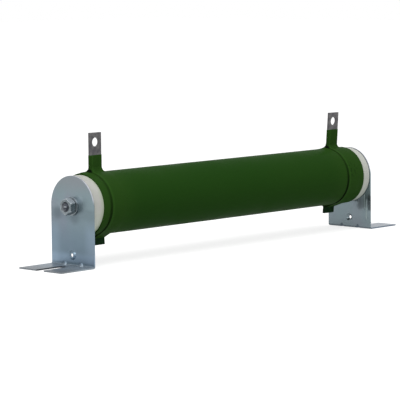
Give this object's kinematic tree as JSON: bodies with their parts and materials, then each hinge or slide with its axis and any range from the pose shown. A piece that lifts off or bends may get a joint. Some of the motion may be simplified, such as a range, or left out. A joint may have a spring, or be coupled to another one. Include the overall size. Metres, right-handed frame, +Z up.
{
  "type": "braking resistor",
  "caption": "Tubular wirewound braking resistor: green enamelled ceramic tube with raised terminal lugs, clamped by a tie rod between slotted steel foot brackets.",
  "frame": {"origin": "on the mounting surface, below the middle of the tube", "axes": "+X along the tube, +Z up from the mounting surface, terminal lugs towards +Z"},
  "size_m": [0.448, 0.0552, 0.1135],
  "materials": {
    "white_ceramic": "fired steatite, unglazed, matt white",
    "resistance_wire": "dull resistance alloy",
    "green_enamel": "dark green cement enamel, satin, slightly uneven",
    "terminal_steel": "bare grey steel, painted green up to part of the lug",
    "mica": "pressed mica sheet",
    "zinc_plated_steel": "bright zinc plating with a bluish passivation"
  },
  "bodies": {
    "root": {"ceramic_core": "white_ceramic", "resistance_winding": "resistance_wire", "enamel_coating": "green_enamel", "terminal_band_left": "terminal_steel", "terminal_band_right": "terminal_steel", "end_bush_left": "white_ceramic", "end_bush_right": "white_ceramic", "mica_washer_left": "mica", "mica_washer_right": "mica", "bracket_left": "zinc_plated_steel", "bracket_right": "zinc_plated_steel", "tie_rod": "zinc_plated_steel", "flat_washer_left": "zinc_plated_steel", "flat_washer_right": "zinc_plated_steel", "hex_nut_left": "zinc_plated_steel", "hex_nut_right": "zinc_plated_steel"}
  },
  "joints": []
}
